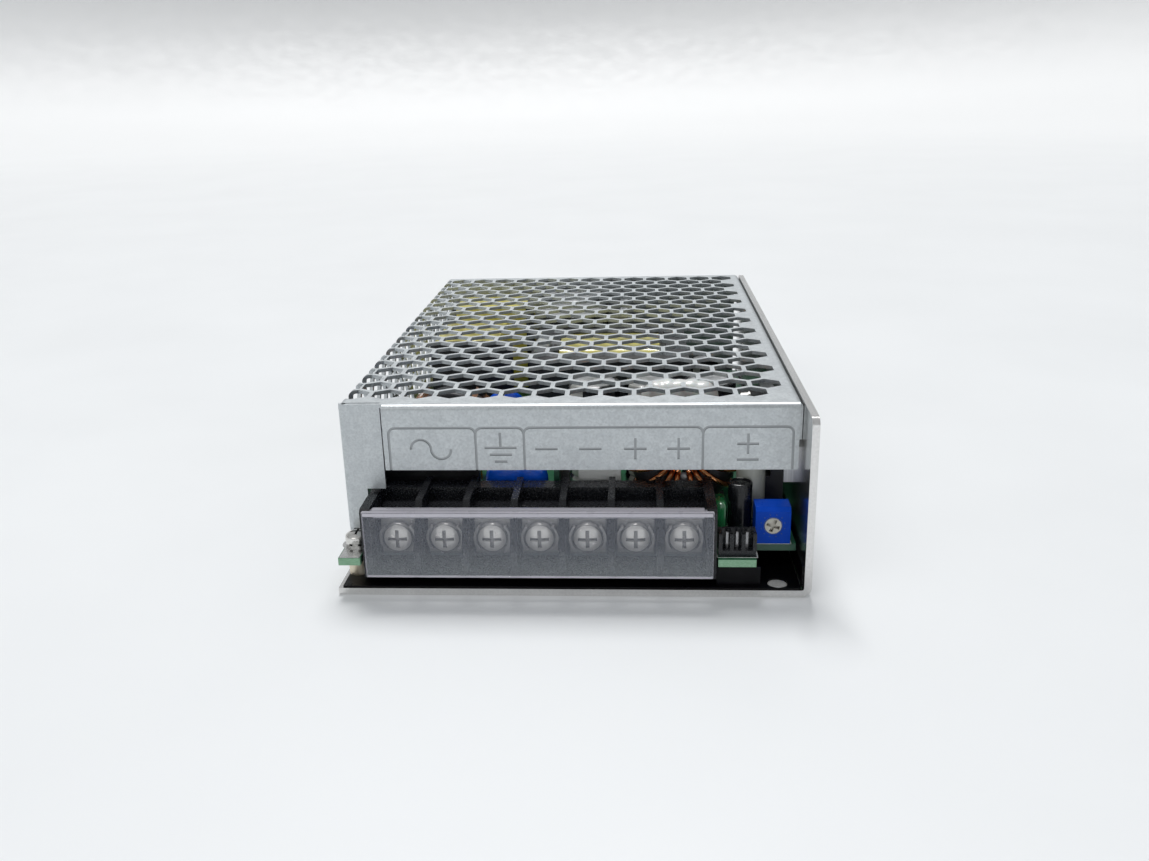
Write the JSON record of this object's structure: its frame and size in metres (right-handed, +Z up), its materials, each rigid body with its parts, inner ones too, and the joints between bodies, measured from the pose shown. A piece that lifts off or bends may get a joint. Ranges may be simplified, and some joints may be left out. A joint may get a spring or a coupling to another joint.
{
  "type": "enclosed switching power supply",
  "caption": "Enclosed switching power supply: folded aluminium chassis, perforated steel cover, screw terminal strip behind a hinged clear cover, and an output trimmer.",
  "frame": {"origin": "centre of the bounding box's footprint, on the mounting face under the base", "axes": "+X to the right seen from the terminals, +Y from the terminals to the back, +Z up from the mounting face"},
  "size_m": [0.097, 0.152, 0.038],
  "materials": {
    "aluminium_plate": "warm light aluminium, lightly brushed",
    "zinc_sheet": "galvanised steel with fine spangle",
    "black_film": "black insulating film",
    "zinc_screws": "zinc-plated",
    "cream_bush": "dull plated brass",
    "circuit_board": "green laminate with solder mask",
    "block_plastic": "satin black",
    "contact_plate": "tinned brass",
    "clear_plastic": "clear, faintly blue-grey",
    "nickel_screws": "nickel-plated",
    "blue_plastic": "saturated blue",
    "cream_plastic": "cream",
    "sleeve_black": "black sleeve with a light stripe",
    "green_epoxy": "green dipped film",
    "package_black": "moulded black epoxy",
    "disc_blue": "blue dipped epoxy",
    "disc_dark": "dark green-grey epoxy",
    "ceramic_white": "white ceramic",
    "ferrite": "dark grey ferrite",
    "copper_wire": "enamelled copper",
    "box_yellow": "yellow film capacitor box",
    "yellow_tape": "yellow winding tape",
    "bobbin_black": "black phenolic",
    "sink_aluminium": "extruded aluminium",
    "white_silicone": "white silicone"
  },
  "bodies": {
    "case": {"chassis": "aluminium_plate", "cover": "zinc_sheet", "insulation_sheet": "black_film", "cover_screws": "zinc_screws", "board_standoffs": "cream_bush", "main_board": "circuit_board", "board_screws": "zinc_screws", "board_screw_washers": "zinc_screws", "terminal_block": "block_plastic", "terminal_contacts": "contact_plate", "header_housing": "block_plastic", "header_pins": "contact_plate", "trimmer_body": "blue_plastic", "sense_capacitor": "sleeve_black", "film_capacitor": "green_epoxy", "control_card": "circuit_board", "card_chips": "package_black", "varistor": "disc_blue", "load_resistor": "ceramic_white", "fuse_tube": "cream_plastic", "fuse_clips": "contact_plate", "line_choke_core": "ferrite", "line_choke_windings": "copper_wire", "disc_capacitors": "disc_blue", "inrush_thermistor": "disc_dark", "bridge_rectifier": "package_black", "box_capacitors": "box_yellow", "boost_choke_core": "ferrite", "boost_choke_winding": "yellow_tape", "bulk_capacitors": "sleeve_black", "transformer_core": "ferrite", "transformer_bobbin": "bobbin_black", "transformer_winding": "yellow_tape", "heat_sink": "sink_aluminium", "power_transistors": "package_black", "output_rectifiers": "package_black", "rectifier_spreaders": "sink_aluminium", "rectifier_screws": "zinc_screws", "output_choke_core": "ferrite", "output_choke_winding": "copper_wire", "silicone_beads": "white_silicone", "output_capacitors": "sleeve_black", "aux_capacitors": "sleeve_black", "optocouplers": "cream_plastic"},
    "terminal_cover": {"terminal_cover": "clear_plastic"},
    "trimmer_rotor": {"trimmer_rotor": "cream_plastic"},
    "washer_1": {"terminal_washer_1": "nickel_screws"},
    "screw_1": {"terminal_screw_1": "nickel_screws"},
    "washer_2": {"terminal_washer_2": "nickel_screws"},
    "screw_2": {"terminal_screw_2": "nickel_screws"},
    "washer_3": {"terminal_washer_3": "nickel_screws"},
    "screw_3": {"terminal_screw_3": "nickel_screws"},
    "washer_4": {"terminal_washer_4": "nickel_screws"},
    "screw_4": {"terminal_screw_4": "nickel_screws"},
    "washer_5": {"terminal_washer_5": "nickel_screws"},
    "screw_5": {"terminal_screw_5": "nickel_screws"},
    "washer_6": {"terminal_washer_6": "nickel_screws"},
    "screw_6": {"terminal_screw_6": "nickel_screws"},
    "washer_7": {"terminal_washer_7": "nickel_screws"},
    "screw_7": {"terminal_screw_7": "nickel_screws"}
  },
  "joints": [
    {"name": "terminal_cover_hinge", "type": "hinge", "parent": "case", "child": "terminal_cover", "pos_m": [-0.0068, -0.0733, 0.0173], "axis": [-1, 0, 0], "range_deg": [0, 100]},
    {"name": "trimmer_turn", "type": "hinge", "parent": "case", "child": "trimmer_rotor", "pos_m": [0.0415, -0.0675, 0.012], "axis": [0, -1, 0], "range_deg": [-130, 130]},
    {"name": "washer_slide_1", "type": "slide", "parent": "case", "child": "washer_1", "axis": [0, -1, 0], "range_m": [0, 0.0025]},
    {"name": "screw_turn_1", "type": "hinge", "parent": "washer_1", "child": "screw_1", "pos_m": [-0.0368, -0.0678, 0.0098], "axis": [0, -1, 0], "range_deg": [0, 1800]},
    {"name": "washer_slide_2", "type": "slide", "parent": "case", "child": "washer_2", "axis": [0, -1, 0], "range_m": [0, 0.0025]},
    {"name": "screw_turn_2", "type": "hinge", "parent": "washer_2", "child": "screw_2", "pos_m": [-0.0268, -0.0678, 0.0098], "axis": [0, -1, 0], "range_deg": [0, 1800]},
    {"name": "washer_slide_3", "type": "slide", "parent": "case", "child": "washer_3", "axis": [0, -1, 0], "range_m": [0, 0.0025]},
    {"name": "screw_turn_3", "type": "hinge", "parent": "washer_3", "child": "screw_3", "pos_m": [-0.0168, -0.0678, 0.0098], "axis": [0, -1, 0], "range_deg": [0, 1800]},
    {"name": "washer_slide_4", "type": "slide", "parent": "case", "child": "washer_4", "axis": [0, -1, 0], "range_m": [0, 0.0025]},
    {"name": "screw_turn_4", "type": "hinge", "parent": "washer_4", "child": "screw_4", "pos_m": [-0.0068, -0.0678, 0.0098], "axis": [0, -1, 0], "range_deg": [0, 1800]},
    {"name": "washer_slide_5", "type": "slide", "parent": "case", "child": "washer_5", "axis": [0, -1, 0], "range_m": [0, 0.0025]},
    {"name": "screw_turn_5", "type": "hinge", "parent": "washer_5", "child": "screw_5", "pos_m": [0.0032, -0.0678, 0.0098], "axis": [0, -1, 0], "range_deg": [0, 1800]},
    {"name": "washer_slide_6", "type": "slide", "parent": "case", "child": "washer_6", "axis": [0, -1, 0], "range_m": [0, 0.0025]},
    {"name": "screw_turn_6", "type": "hinge", "parent": "washer_6", "child": "screw_6", "pos_m": [0.0132, -0.0678, 0.0098], "axis": [0, -1, 0], "range_deg": [0, 1800]},
    {"name": "washer_slide_7", "type": "slide", "parent": "case", "child": "washer_7", "axis": [0, -1, 0], "range_m": [0, 0.0025]},
    {"name": "screw_turn_7", "type": "hinge", "parent": "washer_7", "child": "screw_7", "pos_m": [0.0232, -0.0678, 0.0098], "axis": [0, -1, 0], "range_deg": [0, 1800]}
  ],
  "couplings": [
    {"joint": "screw_turn_1", "follows": "washer_slide_1", "rad_per_m": 12566},
    {"joint": "screw_turn_2", "follows": "washer_slide_2", "rad_per_m": 12566},
    {"joint": "screw_turn_3", "follows": "washer_slide_3", "rad_per_m": 12566},
    {"joint": "screw_turn_4", "follows": "washer_slide_4", "rad_per_m": 12566},
    {"joint": "screw_turn_5", "follows": "washer_slide_5", "rad_per_m": 12566},
    {"joint": "screw_turn_6", "follows": "washer_slide_6", "rad_per_m": 12566},
    {"joint": "screw_turn_7", "follows": "washer_slide_7", "rad_per_m": 12566}
  ]
}
